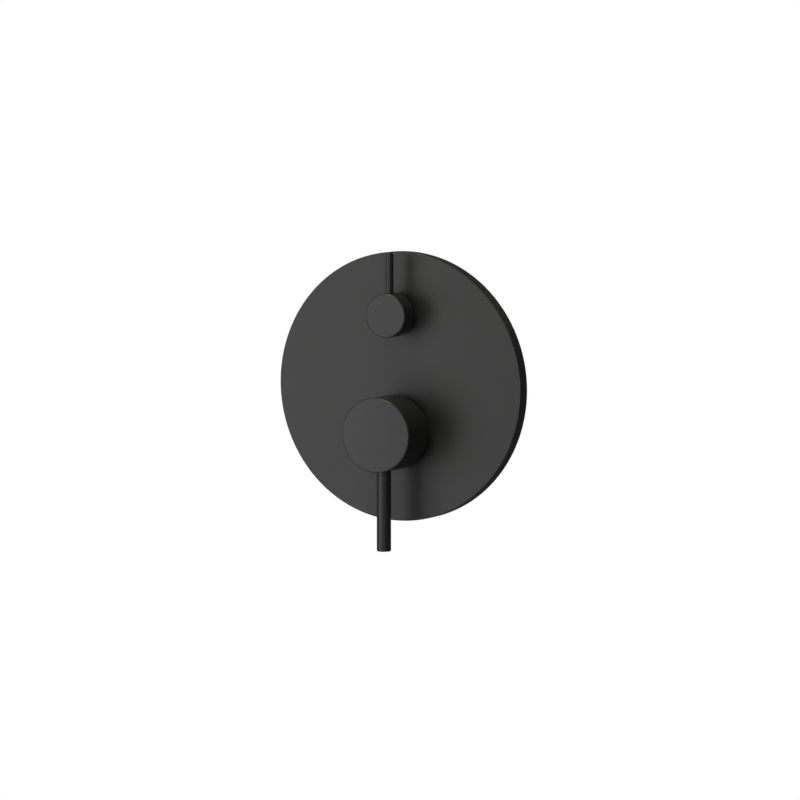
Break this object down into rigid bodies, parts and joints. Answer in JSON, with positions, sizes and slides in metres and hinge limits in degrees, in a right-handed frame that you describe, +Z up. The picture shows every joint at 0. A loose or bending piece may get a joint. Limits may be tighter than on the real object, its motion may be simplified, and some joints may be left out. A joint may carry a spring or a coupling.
{
  "type": "concealed bath shower mixer",
  "caption": "Round wall plate with a mixing handle that turns and lifts and a smaller diverter handle, on a cast in-wall body with threaded pipe ports.",
  "frame": {"origin": "centre of the plate's rear rim, on the finished wall", "axes": "+Z up the wall, +Y into the wall, +X to the right seen from the front"},
  "size_m": [0.17, 0.1, 0.1875],
  "materials": {
    "black_coat": "fine matte black coat on brass",
    "cast_brass": "raw sand-cast brass with machined faces",
    "turned_brass": "turned brass",
    "zinc": "zinc-plated metal",
    "steel": "stainless steel",
    "rubber": "moulded rubber",
    "foam": "closed-cell foam",
    "cartridge_plastic": "moulded white plastic",
    "slide_plastic": "moulded grey plastic",
    "ceramic": "lapped white ceramic"
  },
  "bodies": {
    "wall_unit": {"wall_plate": "black_coat", "main_sleeve": "black_coat", "diverter_sleeve": "black_coat", "main_sleeve_o_ring": "rubber", "diverter_sleeve_o_ring": "rubber", "port_seals": "rubber", "headwork_o_ring": "rubber", "diverter_base_seal": "rubber", "plate_seal": "foam", "mixer_body": "cast_brass", "cartridge_nut": "turned_brass", "diverter_headwork": "turned_brass", "cartridge_housing": "cartridge_plastic", "cartridge_base": "cartridge_plastic", "fixed_disc": "ceramic", "diverter_fixed_disc": "ceramic"},
    "temperature_carrier": {"lever_carrier": "slide_plastic", "lever_pivot_pin": "steel"},
    "main_handle": {"cartridge_lever": "zinc", "main_knob": "black_coat", "main_lever_pin": "black_coat", "main_grub_screw": "steel"},
    "mixing_disc": {"disc_drive_plate": "slide_plastic", "moving_disc": "ceramic"},
    "diverter_handle": {"diverter_knob": "black_coat", "diverter_lever_pin": "black_coat", "diverter_grub_screw": "steel", "diverter_spindle": "turned_brass", "spindle_o_rings": "rubber", "spindle_clip": "steel", "diverter_moving_disc": "ceramic"}
  },
  "joints": [
    {"name": "main_handle_turn", "type": "hinge", "parent": "wall_unit", "child": "temperature_carrier", "pos_m": [0, 0, -0.0281], "axis": [0, -1, 0], "range_deg": [-50, 50]},
    {"name": "main_handle_lift", "type": "hinge", "parent": "temperature_carrier", "child": "main_handle", "pos_m": [0, -0.002, -0.0281], "axis": [-1, 0, 0], "range_deg": [0, 12]},
    {"name": "mixing_disc_slide", "type": "slide", "parent": "temperature_carrier", "child": "mixing_disc", "axis": [0, 0, -1], "range_m": [0, 0.00325]},
    {"name": "diverter_turn", "type": "hinge", "parent": "wall_unit", "child": "diverter_handle", "pos_m": [0, 0, 0.0459], "axis": [0, -1, 0], "range_deg": [-45, 45]}
  ],
  "couplings": [
    {"joint": "mixing_disc_slide", "follows": "main_handle_lift", "m_per_rad": 0.0155}
  ]
}
